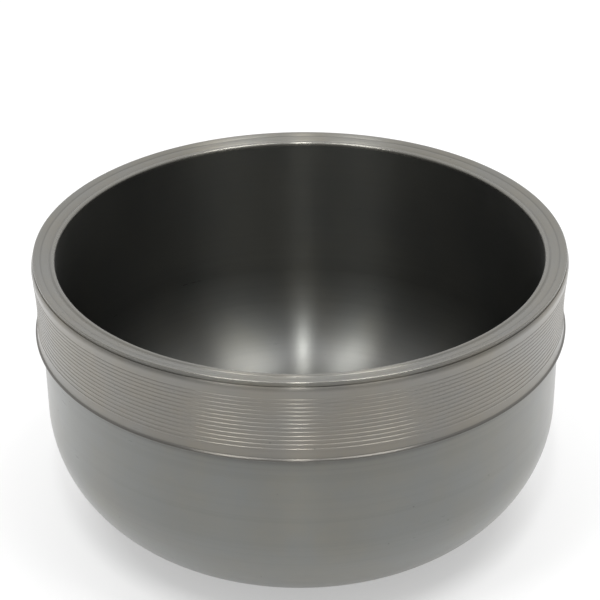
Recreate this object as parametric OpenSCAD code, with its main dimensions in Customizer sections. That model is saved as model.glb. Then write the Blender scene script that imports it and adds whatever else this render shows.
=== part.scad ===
// Kensui, a waste water bowl for the tea ceremony, in turned bronze.
// Four turned pieces share one upright axis and are seated on each other:
// the bowl, the thread band round its neck, the mouth ring on top and the foot ring.
// Millimetres, +Z up, standing on z = 0.

/* [Bowl] */
// Diameter of the straight wall
body_d = 147; // [120:0.5:180]
// Height from the table to the shoulder that carries the thread band
shoulder_h = 60.4; // [50:0.2:75]
// Radius of the rounding between wall and base
body_round = 35.5; // [28:0.5:38]
// Thickness of the floor, and of the wall above the rounding
wall = 2.5; // [2.2:0.1:4]
// Thickness of the neck at its top
neck_wall = 3; // [2.4:0.1:4]
// How much wider the neck is inside at the shoulder than at its top, on the radius
neck_taper = 1.4; // [0.5:0.1:2]

/* [Thread band] */
// Height of the band
band_h = 21.9; // [20.5:0.1:31.5]
// Thickness of the band at its waist, between the thread lines
band_wall = 2.9; // [2:0.1:4]
// Height of the waist above the shoulder
waist_h = 8.6; // [6:0.2:12]
// How far the waist stands out past the wall of the bowl
waist_out = 0.85; // [0.2:0.05:1.5]
// How far the band flares out from its waist, on the radius
flare = 0.7; // [0.4:0.05:1.5]
// Height of the rounded shoulder above the flare
brow_h = 2.5; // [1.5:0.05:2.8]
// Radius of the rounded shoulder
brow_round = 5.2; // [3:0.1:8]
// Radius of the rounded lower edge
edge_round = 0.5; // [0.4:0.05:0.9]
// How far the rounded lower edge stands out past the flare
edge_out = 0.35; // [0.1:0.05:0.6]
// Number of thread lines
thread_count = 13; // [3:1:13]
// Distance from one thread line to the next
thread_pitch = 1.23; // [0.9:0.01:1.26]
// How far a thread line stands out
thread_relief = 0.16; // [0.1:0.02:0.36]
// Distance from the top of the band to the first thread line
thread_start = 3.7; // [2.9:0.1:4.1]

/* [Mouth ring] */
// How far the roll of the lip stays inside the flare of the band, on the radius
lip_in = 0.45; // [0.2:0.05:0.8]
// Height of the ring above the thread band
ring_h = 1.75; // [1.5:0.05:2]
// Radius of the roll round the outer edge of the lip
lip_edge = 0.9; // [0.7:0.05:1]
// Radius of the bead round the inner edge of the lip
inner_bead = 0.9; // [0.5:0.05:0.9]
// How far the top of the inner bead lies below the top of the roll
inner_drop = 1.2; // [0.8:0.05:1.3]
// How far the crown between bead and roll arches up
crown_rise = 0.3; // [0.15:0.05:0.45]
// Height of the plain inside edge below the middle of the bead
bead_foot = 0.35; // [0.2:0.05:0.5]

/* [Foot ring] */
// Diameter of the foot ring
foot_d = 86; // [70:1:88]
// Width of the foot ring
foot_w = 4; // [3:0.5:6]
// How far the foot ring stands out below the floor
foot_h = 1; // [0.6:0.1:3]
// How deep the foot ring is let into the base at its outer edge
foot_seat = 0.85; // [0.5:0.05:1.1]
// Radius of the eased edges that meet the table
foot_ease = 0.5; // [0.2:0.1:0.6]

/* [Fits] */
// Clearance of each ring on its seat
fit_gap = 0.05; // [0.02:0.01:0.1]

/* [Hidden] */
$fn = 128;

bronze = [0.45, 0.45, 0.42];
lip_bronze = [0.55, 0.55, 0.50];
band_bronze = [0.49, 0.49, 0.45];
foot_bronze = [0.40, 0.40, 0.37];

// Radii, from the wall of the bowl out to the lip and in to the opening
body_r = body_d / 2;
inner_r = body_r - wall;
flat_r = body_r - body_round;
narrow_r = body_r + waist_out;
flare_r = narrow_r + flare;
mouth_r = flare_r - lip_in;
seat_r = narrow_r - band_wall;
neck_r = seat_r - fit_gap;
opening_r = neck_r - neck_wall;
foot_r = foot_d / 2;

// Heights
floor_z = foot_h;
round_z = floor_z + body_round;
band_top = shoulder_h + band_h;
ring_top = band_top + ring_h;

// Two large arcs meet upright at the waist of the band and flare out to its foot and its shoulder
waist_z = shoulder_h + waist_h;
brow_z = band_top - brow_h;
upper_round = flare_round(brow_z - waist_z);
lower_round = flare_round(waist_h);

// The crown of the lip spans from a crease beside the inner bead to a valley beside the roll
edge_c = [mouth_r - lip_edge, ring_top - lip_edge];
bead_c = [opening_r + inner_bead, ring_top - inner_drop - inner_bead];
crease_a = 42;
valley_a = 163;
crease = bead_c + inner_bead * [cos(crease_a), sin(crease_a)];
valley = edge_c + lip_edge * [cos(valley_a), sin(valley_a)];
crown_w = norm(valley - crease) / 2;
crown_a = atan2(valley.y - crease.y, valley.x - crease.x) + 90;
crown_round = (pow(crown_w, 2) + pow(crown_rise, 2)) / (2 * crown_rise);
crown_c = (crease + valley) / 2 - (crown_round - crown_rise) * [cos(crown_a), sin(crown_a)];
crown_half = asin(crown_w / crown_round);

// The neck ends below the bead, and the foot ring follows the rounding of the base
neck_top = bead_c.y - bead_foot;
foot_top = base_z(foot_r) + foot_seat;

// Height of the base of the bowl at the radius r
function base_z(r) = round_z - sqrt(pow(body_round, 2) - pow(max(0, r - flat_r), 2));

// Radius of an arc that starts upright and flares out over the height h
function flare_round(h) = (pow(h, 2) + pow(flare, 2)) / (2 * flare);

// Radius of the waist at the height z, without the thread lines
function waist_r(z) =
    let (r = z > waist_z ? upper_round : lower_round)
        narrow_r + r - sqrt(pow(r, 2) - pow(z - waist_z, 2));

// Points along an arc about the centre c, from the angle a to the angle b
function arc(c, r, a, b, n = 10) = [
    for (i = [0:n])
        let (t = a + (b - a) * i / n)
            c + r * [cos(t), sin(t)]
];

// A quarter of a disc, turned by the angle a
module quarter(r, a) {
    rotate(a)
        intersection() {
            circle(r);
            square(r);
        }
}

// Half section of a dish: a flat base at the height z and a rounding up to its rim
module dish_section(r, rounding, z) {
    translate([0, z])
        square([r - rounding, rounding]);
    translate([r - rounding, z + rounding])
        quarter(rounding, -90);
}

// The bowl, with a neck above its shoulder and a groove for the foot ring
module bowl_body() {
    color(bronze)
        rotate_extrude()
            difference() {
                union() {
                    dish_section(body_r, body_round, floor_z);
                    translate([0, round_z])
                        square([body_r, shoulder_h - round_z]);
                    translate([0, round_z])
                        square([neck_r, neck_top - round_z]);
                }
                dish_section(inner_r, body_round - wall, floor_z + wall);
                polygon([
                    [0, round_z],
                    [inner_r, round_z],
                    [opening_r + neck_taper, shoulder_h - wall],
                    [opening_r, neck_top],
                    [0, neck_top]
                ]);
                translate([foot_r - foot_w - fit_gap, 0])
                    square([foot_w + 2 * fit_gap, foot_top]);
            }
}

// The waisted collar round the neck, with its rounded shoulder, thread lines and lower edge
module thread_band() {
    color(band_bronze)
        rotate_extrude()
            difference() {
                union() {
                    difference() {
                        translate([seat_r, shoulder_h])
                            square([flare_r - seat_r, band_h - brow_h]);
                        translate([narrow_r + upper_round, waist_z])
                            quarter(upper_round, 90);
                        translate([narrow_r + lower_round, waist_z])
                            quarter(lower_round, 180);
                    }
                    intersection() {
                        translate([seat_r, brow_z])
                            square([flare_r - seat_r, brow_h]);
                        translate([flare_r - brow_round, brow_z])
                            circle(brow_round);
                    }
                    translate([flare_r + edge_out - edge_round, shoulder_h + edge_round])
                        circle(edge_round);
                    for (i = [0:thread_count - 1])
                        let (z = band_top - thread_start - i * thread_pitch)
                            translate([waist_r(z) + thread_relief - thread_pitch / 2, z])
                                circle(thread_pitch / 2);
                }
                translate([0, shoulder_h - 1])
                    square([seat_r, band_h + 2]);
            }
}

// The lip, with its bead, crown and roll, seated on the neck and let into the top of the band
module mouth_ring() {
    ring_z = band_top + fit_gap;
    step_r = neck_top < ring_z ? neck_r : seat_r;
    under_a = -asin(min(1, (edge_c.y - ring_z) / lip_edge));
    color(lip_bronze)
        rotate_extrude()
            polygon(concat(
                [[opening_r, neck_top]],
                arc(bead_c, inner_bead, 180, crease_a),
                arc(crown_c, crown_round, crown_a + crown_half, crown_a - crown_half),
                arc(edge_c, lip_edge, valley_a, under_a, 16),
                [[step_r, ring_z], [step_r, neck_top]]
            ));
}

// The ring that the bowl stands on, with eased edges
module foot_ring() {
    color(foot_bronze)
        rotate_extrude()
            translate([foot_r - foot_w, 0]) {
                translate([0, foot_ease])
                    square([foot_w, foot_top - foot_ease]);
                translate([foot_ease, 0])
                    square([foot_w - 2 * foot_ease, foot_top]);
                translate([foot_ease, foot_ease])
                    quarter(foot_ease, 180);
                translate([foot_w - foot_ease, foot_ease])
                    quarter(foot_ease, -90);
            }
}

bowl_body();
thread_band();
mouth_ring();
foot_ring();
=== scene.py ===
# %% [markdown]
# # A waste water bowl in turned bronze
# A kensui takes the water that rinses the cups at a tea gathering. This one is a low,
# wide bowl of dark bronze: a rounded body, a waisted band with thirteen fine thread
# lines, an arched lip and a foot ring. The imported model gives the box of each piece,
# so it comes in first.

# %% Load the frame
from math import acos, asin, atan2, cos, degrees, hypot, pi, radians, sin, sqrt, tan

import bpy
from mathutils import Euler, Matrix, Vector


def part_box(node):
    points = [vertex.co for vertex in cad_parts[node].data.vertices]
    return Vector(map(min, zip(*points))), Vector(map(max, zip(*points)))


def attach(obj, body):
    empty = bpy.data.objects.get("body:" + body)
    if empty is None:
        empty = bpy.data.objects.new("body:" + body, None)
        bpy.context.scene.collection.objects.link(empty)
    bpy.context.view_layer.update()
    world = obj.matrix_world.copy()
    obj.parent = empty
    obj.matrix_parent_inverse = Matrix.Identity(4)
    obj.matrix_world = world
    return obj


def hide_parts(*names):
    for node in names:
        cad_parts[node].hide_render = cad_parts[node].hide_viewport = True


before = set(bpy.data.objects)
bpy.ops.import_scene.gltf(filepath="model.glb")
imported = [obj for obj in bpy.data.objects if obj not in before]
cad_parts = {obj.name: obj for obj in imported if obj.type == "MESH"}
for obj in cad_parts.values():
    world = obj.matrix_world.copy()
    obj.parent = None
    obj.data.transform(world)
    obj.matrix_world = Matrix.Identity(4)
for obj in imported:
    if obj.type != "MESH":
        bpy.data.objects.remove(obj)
scene = bpy.context.scene
scene.view_settings.view_transform = "Standard"
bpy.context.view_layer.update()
mm = 0.001
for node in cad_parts:
    low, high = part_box(node)
    print(f"{node}: radius {high.x / mm:.2f} mm, "
          f"from {low.z / mm:.2f} to {high.z / mm:.2f} mm high")

# %% [markdown]
# ## The camera
# The photograph looks down on the bowl at about thirty degrees, with a long lens from
# half a metre away. The ellipses of the lip and of the band gave the distance and the
# lens, and the frame leans by half a degree. A camera looks along its own -Z axis, so
# it is tipped up from straight down first and then rolled about that axis.

# %% Camera
camera_place = Vector((-0.0001, -0.4531, 0.3215))
camera_dip = radians(29.54)
camera_roll = radians(-0.60)
focal_pixels = 1823
frame_pixels = 600
sensor_width = 36

bpy.ops.object.camera_add(location=camera_place)
camera = bpy.context.object
camera.data.sensor_width = sensor_width
camera.data.lens = sensor_width * focal_pixels / frame_pixels
tip = Euler((pi / 2 - camera_dip, 0, 0)).to_matrix()
camera.rotation_euler = (tip @ Matrix.Rotation(camera_roll, 3, "Z")).to_euler()
scene.camera = camera
print(f"camera: {camera.data.lens:.0f} mm lens, {camera_place.length:.3f} m from the foot")

# %% [markdown]
# ## Turning a piece
# The real bowl is cast and then finished on a lathe, so every piece is a body of
# revolution. In Blender the same thing is a half section that is spun about Z. The
# section is drawn as by hand: a plane is merged to one vertex, the vertex is extruded
# from point to point, and the line is spun once round. Doubles are merged before the
# normals are recalculated, because the last copy of the line lies on the first.

# %% A lathe made of operators
turns = 288
merge_distance = 0.002 * mm
smooth_angle = radians(32)


def pick_ends(mesh_object):
    """Select the first and the last vertex of the line, as two clicks would."""
    bpy.ops.mesh.select_all(action="DESELECT")
    bpy.ops.object.mode_set(mode="OBJECT")
    vertices = mesh_object.data.vertices
    vertices[0].select = vertices[len(vertices) - 1].select = True
    bpy.ops.object.mode_set(mode="EDIT")


def turn(name, section, closed):
    """Extrude one vertex along the half section [(radius, height), ...] and spin it about Z."""
    bpy.ops.object.select_all(action="DESELECT")
    points = [Vector((r, 0, z)) for r, z in section]
    bpy.ops.mesh.primitive_plane_add(size=mm, location=points[0])
    piece = bpy.context.object
    piece.name = piece.data.name = name
    bpy.ops.object.transform_apply(location=True, rotation=True, scale=True)
    bpy.ops.object.mode_set(mode="EDIT")
    bpy.ops.mesh.select_mode(type="VERT")
    bpy.ops.mesh.select_all(action="SELECT")
    bpy.ops.mesh.merge(type="CENTER")
    for before, after in zip(points, points[1:]):
        bpy.ops.mesh.extrude_region_move(TRANSFORM_OT_translate={"value": after - before})
    if closed:
        pick_ends(piece)
        bpy.ops.mesh.edge_face_add()
    bpy.ops.mesh.select_all(action="SELECT")
    bpy.ops.mesh.spin(steps=turns, angle=2 * pi, center=(0, 0, 0), axis=(0, 0, 1))
    bpy.ops.mesh.select_all(action="SELECT")
    bpy.ops.mesh.remove_doubles(threshold=merge_distance)
    bpy.ops.mesh.normals_make_consistent(inside=False)
    bpy.ops.object.mode_set(mode="OBJECT")
    bpy.ops.object.shade_smooth_by_angle(angle=smooth_angle)
    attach(piece, "root")
    piece.data.calc_loop_triangles()
    low, high = (Vector(piece.bound_box[i]) for i in (0, 6))
    print(f"{name}: {len(section)} points, {len(piece.data.loop_triangles)} triangles, "
          f"radius {high.x / mm:.2f} mm, {low.z / mm:.2f} to {high.z / mm:.2f} mm high")
    return piece


def on_circle(centre, radius, angle):
    """The point at that angle, in degrees, on a circle."""
    a = radians(angle)
    return (centre[0] + radius * cos(a), centre[1] + radius * sin(a))


def arc(centre, radius, start, end, steps):
    """Points on an arc about the centre, with the angles in degrees."""
    return [on_circle(centre, radius, start + (end - start) * i / steps)
            for i in range(steps + 1)]


print(f"lathe ready, {turns} steps round")

# %% [markdown]
# ## The bowl
# The body has a flat floor, one large rounding and an upright wall. Above its shoulder it
# goes on as a narrower neck, out of sight behind the band and the lip. The inside follows
# the outside at the thickness of the wall and closes in slightly towards the mouth. The
# section starts and ends on the axis, so it stays open.

# %% Bowl
body_low, body_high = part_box("bowl_body")
band_low, band_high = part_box("thread_band")
ring_low, ring_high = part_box("mouth_ring")
foot_low, foot_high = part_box("foot_ring")
body_radius = 73.5 * mm
rounding = 35.5 * mm
rounding_steps = 44
wall = 2.5 * mm
wall_rings = (42 * mm, 48 * mm, 54 * mm)
floor_rings = 5
neck_wall = 3 * mm
neck_taper = 1.4 * mm
neck_rings = (0.33, 0.67, 1)
fit_gap = 0.05 * mm
foot_width = 4 * mm
seat_radius = 71.45 * mm

floor_height = body_low.z
shoulder_height = band_low.z
neck_height = body_high.z
neck_drop = shoulder_height - wall - neck_height
neck_radius = seat_radius - fit_gap
opening_radius = neck_radius - neck_wall
round_centre = (body_radius - rounding, floor_height + rounding)
groove_in = foot_high.x - foot_width - fit_gap
groove_out = foot_high.x + fit_gap


def rounding_angle(radius):
    """Angle on the outer rounding at that radius, in degrees."""
    return -degrees(acos((radius - round_centre[0]) / rounding))


bowl_section = [(groove_in * i / floor_rings, floor_height) for i in range(floor_rings)]
bowl_section += arc(round_centre, rounding, -90, rounding_angle(groove_in), 2)
bowl_section += [(groove_in, foot_high.z), (groove_out, foot_high.z)]
bowl_section += arc(round_centre, rounding, rounding_angle(groove_out), 0, rounding_steps)
bowl_section += [(body_radius, z) for z in wall_rings]
bowl_section += [(body_radius, shoulder_height), (neck_radius, shoulder_height)]
bowl_section += [(neck_radius, neck_height), (opening_radius, neck_height)]
bowl_section += [(opening_radius + neck_taper * t, neck_height + neck_drop * t)
                 for t in neck_rings]
bowl_section += arc(round_centre, rounding - wall, 0, -90, rounding_steps)
bowl_section += [(round_centre[0] * i / floor_rings, floor_height + wall)
                 for i in reversed(range(floor_rings))]
bowl = turn("bronze_bowl", bowl_section, closed=False)
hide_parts("bowl_body")

# %% [markdown]
# ## The thread band
# The band is a collar that draws in to a waist, a little below its middle. Thirteen fine
# lines run round it, as if thread were wound there, its lower edge swells out over the
# bowl, and a rounded shoulder leads in under the lip. Two large arcs meet upright at the
# waist. Each line is a narrow flat ridge, a tenth of a millimetre high, and its steep
# flanks are eased at the top, so that the upper one catches the lamp as a fine streak.

# %% Waist of the band
waist_radius = 74.35 * mm
waist_rise = 8.6 * mm
flare = 0.7 * mm
brow_rise = 1.15 * mm
brow_round = 1.9 * mm

waist_height = band_low.z + waist_rise
flare_radius = waist_radius + flare
brow_height = band_high.z - brow_rise


def flare_round(rise):
    """Radius of an arc that starts upright and flares out over that rise."""
    return (rise ** 2 + flare ** 2) / (2 * flare)


def waist_at(z):
    """Radius of the waist at the height z, without its thread lines."""
    rise = brow_height - waist_height if z > waist_height else waist_height - band_low.z
    curve = flare_round(rise)
    return waist_radius + curve - sqrt(curve ** 2 - (z - waist_height) ** 2)


print(f"waist: radius {waist_radius / mm:.2f} mm, {waist_height / mm:.2f} mm high")

# %% Thread band
edge_round = 0.36 * mm
edge_clear = 1.35 * edge_round
thread_count = 13
thread_pitch = 1.23 * mm
thread_relief = 0.105 * mm
thread_start = 3.7 * mm
thread_width = 0.36 * mm
thread_ease = 0.08 * mm
thread_slope = 55
brow_lead = 0.5 * mm

slope = radians(thread_slope)
flank_height = (thread_relief - thread_ease * (1 - cos(slope))) / tan(slope)
thread_half = thread_width / 2 + thread_ease * sin(slope) + flank_height
last_thread = band_high.z - thread_start - (thread_count - 1) * thread_pitch
foot_of_threads = last_thread - thread_pitch
edge_centre = (band_high.x - edge_round, band_low.z + edge_round)
half_way = (edge_centre[1] + edge_round + foot_of_threads) / 2
brow_reach = degrees(asin(brow_rise / brow_round))

band_section = [(seat_radius, band_low.z)] + arc(edge_centre, edge_round, -90, 80, 16)
for z in (edge_centre[1] + edge_clear, half_way, foot_of_threads):
    band_section += [(waist_at(z), z)]
for i in range(thread_count):
    z = last_thread + i * thread_pitch
    inset = waist_at(z) + thread_relief - thread_ease
    band_section += [(waist_at(z - thread_half), z - thread_half)]
    band_section += arc((inset, z - thread_width / 2), thread_ease, -thread_slope, 0, 4)
    band_section += arc((inset, z + thread_width / 2), thread_ease, 0, thread_slope, 4)
    band_section += [(waist_at(z + thread_half), z + thread_half)]
band_section += [(waist_at(brow_height - brow_lead), brow_height - brow_lead)]
band_section += arc((flare_radius - brow_round, brow_height), brow_round, 0, brow_reach, 14)
band_section += [(seat_radius, band_high.z)]
band = turn("thread_band_turned", band_section, closed=True)
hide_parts("thread_band")

# %% [markdown]
# ## The lip
# A ring closes the mouth. Seen in section it has a fine bead on the inner edge, a crease,
# a low arched crown, a shallow valley and a rim that ends in a tight outer edge over the
# shoulder of the band. Crown and rim are single arcs between their two ends, and each
# radius follows from half the width and from how far the arc bows up.

# %% Lip
inner_bead = 0.8 * mm
inner_drop = 1.3 * mm
bead_back = 1.6 * mm
crease_angle = 57
crown_width, crown_climb, crown_rise = 2.3 * mm, 0.55 * mm, 0.14 * mm
rim_rise = 0.1 * mm
lip_edge = 0.35 * mm
edge_inset, edge_drop = 0.05 * mm, 0.4 * mm
edge_turn = -40
throat_inset = 0.2 * mm


def bow(start, end, rise, steps):
    """Points from start to end on an arc that bows up by the rise."""
    half = hypot(end[0] - start[0], end[1] - start[1]) / 2
    radius = (half ** 2 + rise ** 2) / (2 * rise)
    lean = degrees(atan2(end[1] - start[1], end[0] - start[0])) + 90
    reach = degrees(asin(half / radius))
    centre = on_circle(start, -radius, lean + reach)
    return arc(centre, radius, lean + reach, lean - reach, steps)


bead_middle = (opening_radius + inner_bead, ring_high.z - inner_drop - inner_bead)
back_middle = (bead_middle[0], bead_middle[1] + inner_bead - bead_back)
crease = on_circle(back_middle, bead_back, crease_angle)
valley = (crease[0] + crown_width, crease[1] + crown_climb)
edge_middle = (ring_high.x - edge_inset - lip_edge, ring_high.z - edge_drop - lip_edge)
lip_under = band_high.z + fit_gap

lip_section = [(opening_radius, ring_low.z)]
lip_section += arc(bead_middle, inner_bead, 180, 90, 10)
lip_section += arc(back_middle, bead_back, 90, crease_angle, 6)[1:]
lip_section += bow(crease, valley, crown_rise, 12)[1:]
lip_section += bow(valley, on_circle(edge_middle, lip_edge, 90), rim_rise, 10)[1:]
lip_section += arc(edge_middle, lip_edge, 90, edge_turn, 14)[1:]
lip_section += [(ring_high.x - throat_inset, lip_under)]
lip_section += [(neck_radius, lip_under), (neck_radius, ring_low.z)]
lip = turn("arched_lip", lip_section, closed=True)
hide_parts("mouth_ring")

# %% [markdown]
# ## The foot ring
# The bowl stands on a narrow ring let into its base. It can't be seen from the front, but
# a bowl is turned over to be dried, so the ring gets eased edges where it meets the table.

# %% Foot ring
foot_ease = 0.5 * mm
foot_in = foot_high.x - foot_width
foot_section = [(foot_in, foot_high.z)]
foot_section += arc((foot_in + foot_ease, foot_low.z + foot_ease), foot_ease, 180, 270, 8)
foot_section += [(foot_in + foot_width / 2, foot_low.z)]
foot_section += arc((foot_high.x - foot_ease, foot_low.z + foot_ease), foot_ease, -90, 0, 8)
foot_section += [(foot_high.x, foot_high.z)]
foot = turn("foot_ring_turned", foot_section, closed=True)
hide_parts("foot_ring")

# %% [markdown]
# ## Shader arithmetic
# Patina, turning lines and worn edges are sums and masks, so the node trees are easier to
# read as Python expressions. A Wire holds one output socket. Adding or multiplying Wires
# puts a Math node in the tree, and add() makes any other node from its type, its settings
# and the values or Wires for its sockets.

# %% Wires


class Wire:
    """One output socket of a node tree, with arithmetic that adds Math nodes."""

    def __init__(self, tree, socket=None):
        self.tree, self.socket = tree, socket

    def add(self, kind, settings=None, sockets=None, out=0):
        """A new node of that kind in the tree, as the Wire of one of its outputs."""
        node = self.tree.nodes.new(kind)
        for name, value in (settings or {}).items():
            setattr(node, name, value)
        for name, value in (sockets or {}).items():
            if isinstance(value, Wire):
                self.tree.links.new(value.socket, node.inputs[name])
            else:
                node.inputs[name].default_value = value
        return Wire(self.tree, node.outputs[out]) if node.outputs else None

    def math(self, operation, *others):
        """A Math node with this Wire on its first socket."""
        return self.add("ShaderNodeMath", {"operation": operation},
                        dict(enumerate((self, *others))))

    def __add__(self, other):
        return self.math("ADD", other)

    def __sub__(self, other):
        return self.math("SUBTRACT", other)

    def __rsub__(self, other):
        return self.add("ShaderNodeMath", {"operation": "SUBTRACT"}, {0: other, 1: self})

    def __mul__(self, other):
        return self.math("MULTIPLY", other)

    def __truediv__(self, other):
        return self.math("DIVIDE", other)

    __radd__, __rmul__ = __add__, __mul__

    def ramp(self, start, end):
        """0 below start, 1 above end, smooth between them."""
        return self.add("ShaderNodeMapRange", {"interpolation_type": "SMOOTHSTEP"},
                        {"Value": self, "From Min": start, "From Max": end})

    def between(self, first, second):
        """The first colour where the mask is 0 and the second where it is 1."""
        first, second = ((*c, 1) if isinstance(c, tuple) else c for c in (first, second))
        return self.add("ShaderNodeMix", {"data_type": "RGBA"},
                        {0: self, 6: first, 7: second}, out=2)


def fresh_wire(owner):
    """Empty the node tree of a material or a world, and start a Wire in it."""
    owner.use_nodes = True
    owner.node_tree.nodes.clear()
    return Wire(owner.node_tree)


print("wires ready")

# %% [markdown]
# ## Places on a turned piece
# Every mark on turned metal depends on the radius and the height, and the patina also on
# the way round. Object coordinates are in metres from the middle of the foot, so they are
# multiplied into millimetres once, and each pattern then states its size in millimetres.

# %% Patterns in millimetres


def places(wire):
    """The point in millimetres, its radius and its height."""
    spot = wire.add("ShaderNodeTexCoord", out="Object")
    spot = wire.add("ShaderNodeVectorMath", {"operation": "SCALE"}, {0: spot, "Scale": 1 / mm})
    height = wire.add("ShaderNodeSeparateXYZ", sockets={0: spot}, out="Z")
    level = {0: spot, 1: (1, 1, 0)}
    flat = wire.add("ShaderNodeVectorMath", {"operation": "MULTIPLY"}, level)
    radius = wire.add("ShaderNodeVectorMath", {"operation": "LENGTH"}, {0: flat}, out="Value")
    return spot, radius, height


def cloud(spot, size, detail, offset=0.0):
    """Soft blotches of about that size."""
    shift = {0: spot, 1: (offset, offset, 0)}
    moved = spot.add("ShaderNodeVectorMath", {"operation": "ADD"}, shift)
    return spot.add("ShaderNodeTexNoise", {"noise_dimensions": "3D"},
                    {"Vector": moved, "Scale": 1 / size, "Detail": detail, "Roughness": 0.55})


def lathe_lines(spot, radius, height, pitch, waver):
    """Fine lines that run round the piece, about one pitch apart, and waver slightly."""
    drift = waver * cloud(spot, size=30, detail=1.0)
    track = spot.add("ShaderNodeCombineXYZ", sockets={0: radius + drift, 1: height + drift})
    return spot.add("ShaderNodeTexNoise", {"noise_dimensions": "2D"},
                    {"Vector": track, "Scale": 1 / pitch, "Detail": 2.0, "Roughness": 0.6})


def pits(spot, size, share):
    """Small dark casting pores, on that share of the cells."""
    grid = {"Vector": spot, "Scale": 1 / size}
    from_middle = spot.add("ShaderNodeTexVoronoi", {"feature": "F1"}, grid)
    tint = spot.add("ShaderNodeTexVoronoi", {"feature": "F1"}, grid, out="Color")
    chosen = spot.add("ShaderNodeSeparateColor", sockets={0: tint}).math("LESS_THAN", share)
    return (1 - from_middle.ramp(0.08, 0.2)) * chosen


print("patterns ready")

# %% [markdown]
# ## Patinated bronze
# Tea bronze is browned with a chemical patina and then waxed. It reflects about a fifth
# of the light, so its colour is a dark olive grey, a little warmer where the patina is
# thin. Blotches shift the colour, lathe lines roughen it across the grooves, and handled
# edges are lighter and smoother. The grooves also stretch each highlight across them:
# anisotropy does that, turned by a quarter because the grooves run round the axis. A
# clear coat, rougher than the metal, stands for the wax.

# %% Bronze


def tinted(tone, red, green, blue):
    """The tone with each channel times its factor."""
    return (tone[0] * red, tone[1] * green, tone[2] * blue)


def bronze(name, tone, edge_tone, line_pitch, line_depth, roughness, wear, patina_and_shade=None):
    """A bronze finish. The wear mask gives handled edges, the other mask deep patina and
    painted shade.
    """
    material = bpy.data.materials.new(name)
    wire = fresh_wire(material)
    spot, radius, height = places(wire)
    broad = cloud(spot, size=22, detail=3.0)
    small = cloud(spot, size=3.2, detail=4.0, offset=40.0)
    speck = cloud(spot, size=0.7, detail=2.0, offset=90.0)
    lines = lathe_lines(spot, radius, height, line_pitch, waver=0.1)
    coarse = lathe_lines(spot, radius, height, 5 * line_pitch, waver=0.4)
    worn = wear(spot, radius, height) * (0.55 + 0.45 * small.ramp(0.3, 0.65))
    pore = pits(spot, size=1.6, share=0.015)

    cool = tinted(tone, 0.96, 0.98, 1.02)
    warm = tinted(tone, 1.05, 1.02, 0.97)
    dark = tinted(tone, 0.55, 0.55, 0.55)
    # the tone of deep patina and of painted shade
    deep = tinted(tone, 0.42, 0.42, 0.42)
    colour = broad.ramp(0.36, 0.64).between(cool, warm)
    colour = (0.5 * small.ramp(0.35, 0.7)).between(colour, tone)
    colour = (0.12 * coarse.ramp(0.45, 0.75)).between(colour, dark)
    colour = (0.2 * speck.ramp(0.5, 0.75)).between(colour, warm)
    # the second mask darkens the colour with deep patina and painted shade
    if patina_and_shade:
        colour = patina_and_shade(spot, radius, height).between(colour, deep)
    colour = worn.between(colour, edge_tone)
    colour = (0.7 * pore).between(colour, dark)

    satin = roughness + 0.07 * (broad - 0.5) + 0.08 * (lines - 0.5) + 0.05 * (small - 0.5)
    satin = satin - 0.06 * worn + 0.2 * pore
    relief = lines + 0.6 * coarse + 0.25 * speck - 1.5 * pore
    bump = wire.add("ShaderNodeBump", sockets={
        "Height": relief, "Strength": 1.0, "Distance": line_depth})
    shader = wire.add("ShaderNodeBsdfPrincipled", sockets={
        "Base Color": colour, "Roughness": satin, "Normal": bump, "Metallic": 1.0,
        "Anisotropic": 1.0, "Anisotropic Rotation": 0.25,
        "Coat Weight": 1.0, "Coat Roughness": 0.4})
    wire.add("ShaderNodeOutputMaterial", sockets={"Surface": shader})
    return material


def dress(piece, material):
    """Give the piece that finish and no other."""
    piece.data.materials.clear()
    piece.data.materials.append(material)
    print(f"{piece.name} is finished in {material.name}, {len(material.node_tree.nodes)} nodes")


print("bronze ready")

# %% [markdown]
# ## A finish for each piece
# The bowl is dark and has hardly any wear. Its patina is deeper inside, where it is wet,
# and painted shade darkens the inside further towards the mouth, and the corner under the
# band. To tell inside from outside, its mask measures the distance from the middle of the
# rounding, which is the same on either side of the wall.

# %% Finish of the bowl
outer_wall = (72.6, 73.2)


def bowl_wear(spot, radius, height):
    """Rubbed spots on the shoulder and round the base."""
    shoulder = radius.ramp(*outer_wall) * height.ramp(57.5, 60.4)
    base = 1 - height.ramp(1.2, 3.0)
    spots = cloud(spot, size=5, detail=3.0, offset=7.0).ramp(0.45, 0.7)
    return 0.5 * (shoulder + base) * spots


def bowl_patina_and_shade(spot, radius, height):
    """Deeper patina inside, darkened more towards the mouth as painted shade; painted shade in
    the corner under the band.
    """
    out = (radius - round_centre[0] / mm).math("MAXIMUM", 0.0)
    down = (round_centre[1] / mm - height).math("MAXIMUM", 0.0)
    from_middle = (out * out + down * down).math("SQRT")
    # patina inside, darkened further by painted shade towards the mouth
    inside = (1 - from_middle.ramp(33.7, 34.8)) * (0.62 + 0.14 * height.ramp(40.0, 72.0))
    # painted shade in the corner under the band
    corner = 0.6 * radius.ramp(*outer_wall) * height.ramp(57.6, 59.4)
    return inside.math("MAXIMUM", corner)


dress(bowl, bronze(
    "body_bronze", tone=(0.181, 0.183, 0.168), edge_tone=(0.215, 0.211, 0.19),
    line_pitch=0.26, line_depth=0.008 * mm, roughness=0.31, wear=bowl_wear, patina_and_shade=bowl_patina_and_shade))

# %% [markdown]
# The band is warmer than the bowl. The crests of its threads are rubbed a little brighter,
# while painted shade darkens the lower edge. A crest is wherever the metal stands out past
# the waist, and near the waist the two large arcs are as good as parabolas, which need no root.

# %% Finish of the band


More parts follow.
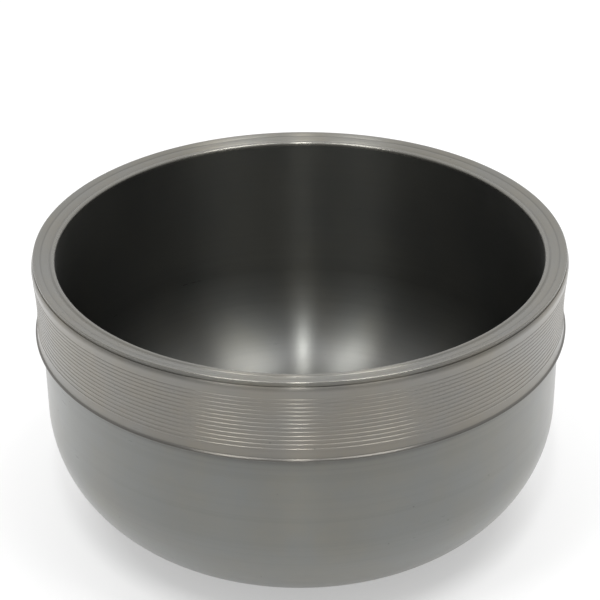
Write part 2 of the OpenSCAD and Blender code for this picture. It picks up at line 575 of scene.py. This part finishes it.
def band_wear(spot, radius, height):
    """Rubbed crests of the thread lines."""
    waist = waist_height / mm
    above = (height - waist).math("MAXIMUM", 0.0) / ((brow_height - waist_height) / mm)
    below = (waist - height).math("MAXIMUM", 0.0) / ((waist_height - band_low.z) / mm)
    stands_out = radius - waist_radius / mm - flare / mm * (above * above + below * below)
    threaded = height.ramp(62.0, 63.0) * (1 - height.ramp(79.2, 79.4))
    return stands_out.ramp(0.06, 0.17) * threaded


def band_painted_shade(spot, radius, height):
    """Painted shade on the lower edge, under the band."""
    # painted shade under the band's lower edge
    return 0.9 * (1 - height.ramp(61.0, 61.6))


dress(band, bronze(
    "band_bronze", tone=(0.228, 0.217, 0.192), edge_tone=(0.232, 0.221, 0.196),
    line_pitch=0.20, line_depth=0.006 * mm, roughness=0.31, wear=band_wear, patina_and_shade=band_painted_shade))

# %% [markdown]
# The lip is handled most, on its outer edge and its bead, and painted shade darkens lines
# in its crease and its valley. The foot ring is worn only where it slides on the table.

# %% Finish of the lip and the foot
crease_line = 69.75
valley_line = 72.4


def lip_wear(spot, radius, height):
    """Handled outer edge and bead."""
    outer = radius.ramp(73.9, 74.3) * height.ramp(83.2, 83.5)
    inner = 1 - radius.ramp(69.0, 69.5)
    return outer.math("MAXIMUM", inner)


def lip_painted_shade(spot, radius, height):
    """Painted shade in lines along the crease and the valley."""
    # painted shade along the crease and the valley
    in_crease = 1 - (radius - crease_line).math("ABSOLUTE").ramp(0.05, 0.32)
    in_valley = 1 - (radius - valley_line).math("ABSOLUTE").ramp(0.05, 0.36)
    return 0.5 * in_crease + 0.45 * in_valley


def foot_wear(spot, radius, height):
    """The face that slides on the table."""
    return 1 - height.ramp(0.05, 0.6)


dress(lip, bronze(
    "lip_bronze", tone=(0.198, 0.191, 0.168), edge_tone=(0.212, 0.205, 0.182),
    line_pitch=0.20, line_depth=0.006 * mm, roughness=0.31, wear=lip_wear, patina_and_shade=lip_painted_shade))
dress(foot, bronze(
    "foot_bronze", tone=(0.15, 0.148, 0.134), edge_tone=(0.25, 0.238, 0.20),
    line_pitch=0.22, line_depth=0.01 * mm, roughness=0.36, wear=foot_wear))

# %% [markdown]
# ## The table
# Dark metal is only as good as what it reflects, and half of that is a white table. It
# adds some light of its own for the camera and for reflections, which makes it white
# without lighting the bowl more, and it keeps the bowl's shadow. Towards the camera that
# light fades, and the paint is painted grey there as shade, to match the darker room.

# %% Table
table_radius = 4
table_middle = (0, 1.6, 0)
table_glow = 0.4


def grey(value):
    """A colour without any hue."""
    return (value, value, value)


bpy.ops.object.select_all(action="DESELECT")
bpy.ops.mesh.primitive_circle_add(vertices=96, radius=table_radius, fill_type="NGON",
                                  location=table_middle)
table = bpy.context.object
table.name = "table"
bpy.ops.object.transform_apply(location=True, rotation=False, scale=False)
table_finish = bpy.data.materials.new("table_white")
wire = fresh_wire(table_finish)
seen = wire.add("ShaderNodeLightPath", out="Is Camera Ray")
mirrored = wire.add("ShaderNodeLightPath", out="Is Glossy Ray")
through = wire.add("ShaderNodeLightPath", out="Is Transmission Ray")
shown = seen + mirrored + through
across = wire.add("ShaderNodeTexCoord", out="Object")
across = wire.add("ShaderNodeSeparateXYZ", sockets={0: across}, out="Y")
bright = across.ramp(-0.65, -0.3)
# the paint is painted grey towards the camera, as shade
paint_shaded_in_front = bright.between(grey(0.32), grey(0.57))
paint = wire.add("ShaderNodeBsdfDiffuse", sockets={"Color": paint_shaded_in_front})
gleam = across.ramp(-0.2, -0.05).between(grey(0.45), grey(1.0))
glow = wire.add("ShaderNodeEmission", sockets={
    "Color": gleam, "Strength": table_glow * shown * bright})
both = wire.add("ShaderNodeAddShader", sockets={0: paint, 1: glow})
wire.add("ShaderNodeOutputMaterial", sockets={"Surface": both})
table.data.materials.append(table_finish)
print(f"table: a white disc, {2 * table_radius} m across, grey in front")

# %% [markdown]
# ## The lamps
# Three soft lamps hang above the camera: a narrow one in the middle, which draws the bright
# streak down the inside, and a wide one on each side for the two glows beside it. A lamp's
# power is its strength times its area, so its size can change without its brightness.

# %% Lamps
lamp_aim = Vector((0, 0, 0.06))
lamp_distance = 1.5


def lamp(name, azimuth, elevation, width, height, strength):
    """An area lamp that looks at the bowl. Azimuth 0 is the camera's side."""
    a, e = radians(azimuth), radians(elevation)
    back = Vector((sin(a) * cos(e), -cos(a) * cos(e), sin(e)))
    bpy.ops.object.light_add(type="AREA", location=lamp_aim + lamp_distance * back)
    light = bpy.context.object
    light.name = name
    light.rotation_euler = back.to_track_quat("Z", "Y").to_euler()
    light.data.shape = "RECTANGLE"
    light.data.size, light.data.size_y = width, height
    light.data.energy = strength * pi * width * height
    print(f"{name}: {light.data.energy:.2f} W")


lamp("lamp_middle", azimuth=-2, elevation=65, width=0.05, height=0.50, strength=50)
lamp("lamp_left", azimuth=-52, elevation=68, width=0.30, height=0.55, strength=10.6)
lamp("lamp_right", azimuth=62, elevation=71, width=0.39, height=0.55, strength=9.1)

# %% [markdown]
# ## The room
# The rest of what the bowl reflects is a plain room. It is grey in front and paler behind
# and overhead, so the front of the bowl stays dark while the lip and the sides come out
# light. A world has no surface, so the direction of each ray, up and away from the camera,
# picks the tone.

# %% Room
world = bpy.data.worlds.new("room")
scene.world = world
wire = fresh_wire(world)
way = wire.add("ShaderNodeTexCoord", out="Generated")
away = wire.add("ShaderNodeSeparateXYZ", sockets={0: way}, out="Y")
up = wire.add("ShaderNodeSeparateXYZ", sockets={0: way}, out="Z")
front = up.ramp(0.05, 0.4).between(grey(0.35), grey(0.52))
walls = away.ramp(-0.1, 0.6).between(front, grey(0.92))
overhead = away.ramp(-0.25, 0.3).between(grey(0.58), grey(1.15))
sky = up.ramp(0.4, 0.75).between(walls, overhead)
room = wire.add("ShaderNodeBackground", sockets={"Color": sky, "Strength": 1.0})
wire.add("ShaderNodeOutputWorld", sockets={"Surface": room})
print("room: grey in front, paler behind and overhead")
